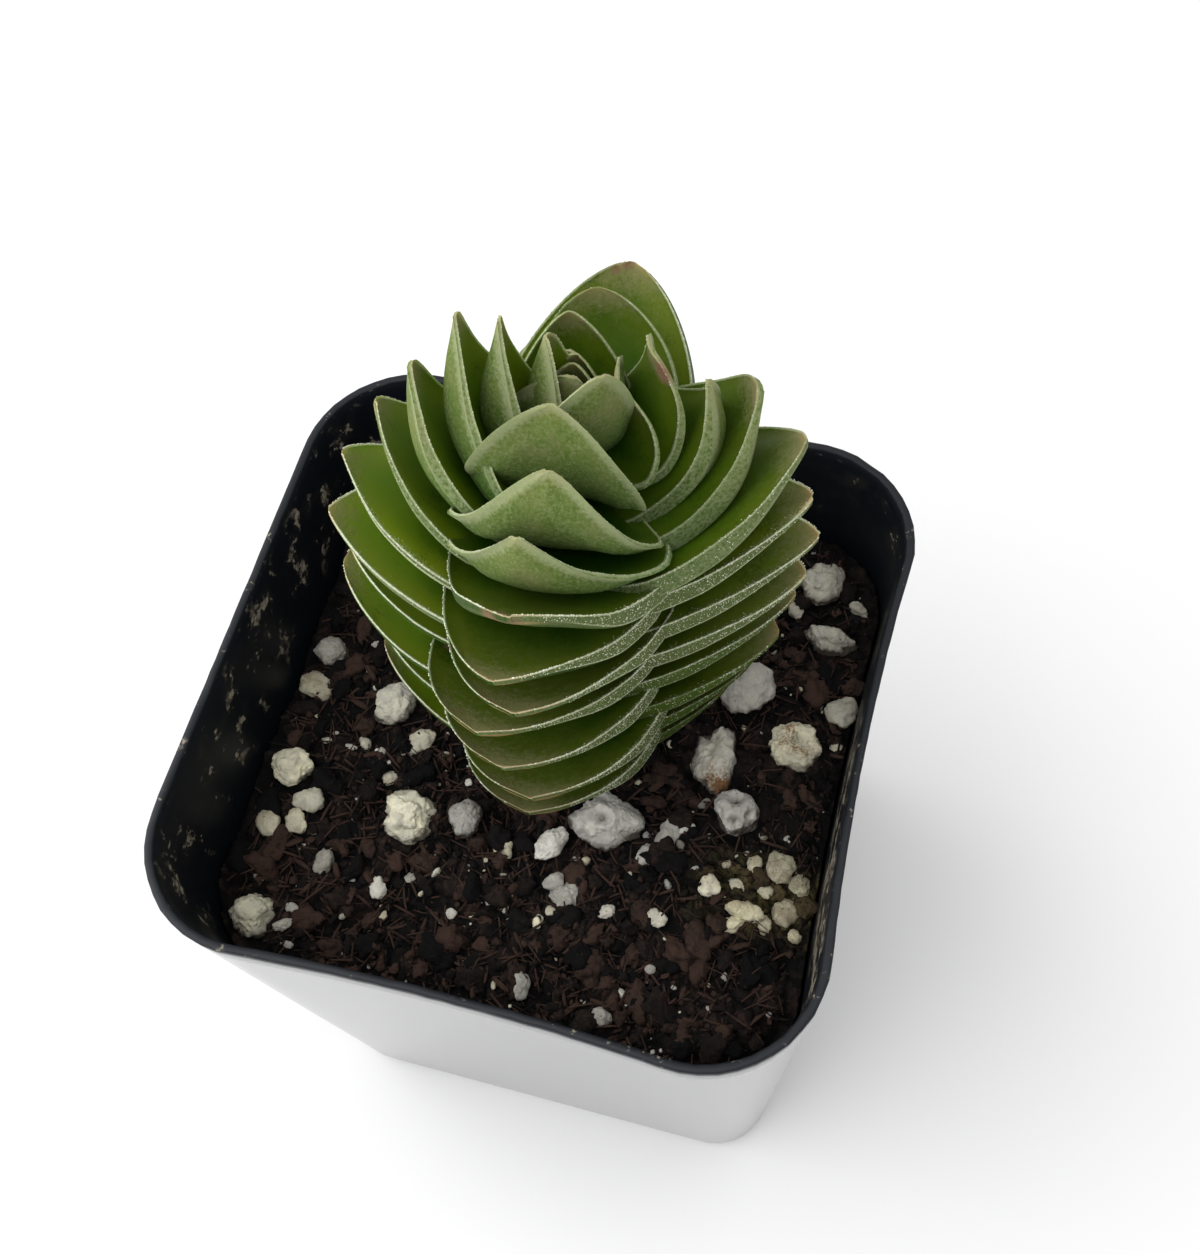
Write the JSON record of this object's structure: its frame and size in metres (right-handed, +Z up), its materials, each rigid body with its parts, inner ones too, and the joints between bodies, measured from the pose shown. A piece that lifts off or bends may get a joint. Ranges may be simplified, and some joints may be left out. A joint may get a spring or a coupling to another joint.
{
  "type": "potted column succulent",
  "caption": "Square column succulent with tightly stacked, cupped leaves, growing in dark soil with pumice in a square black nursery pot.",
  "frame": {"origin": "centre of the pot's underside", "axes": "+Z up along the pot's height; +X and +Y along the pot's square sides; -Y is the side nearest the viewer in the picture"},
  "size_m": [0.057, 0.057, 0.1057],
  "materials": {
    "pot_plastic": "thin moulded black plastic, smooth and glossy, with dried soil specks inside",
    "soil": "damp peat and bark crumbs, matt, dark brown",
    "leaf": "firm waxy leaf, satin, with fine white bumps on the margins",
    "pumice": "porous pale stone, matt, light enough to float"
  },
  "bodies": {
    "root": {"pot": "pot_plastic", "soil": "soil", "leafy_stem": "leaf", "pumice_round": "pumice", "pumice_pebble": "pumice", "pumice_pitted": "pumice", "pumice_long": "pumice", "pumice_shaded": "pumice", "pumice_flat": "pumice", "pumice_double": "pumice", "pumice_side": "pumice", "pumice_yellow": "pumice", "pumice_corner": "pumice", "pumice_pale": "pumice", "pumice_far_left": "pumice", "pumice_far_right": "pumice", "pumice_back_right": "pumice"}
  },
  "joints": []
}
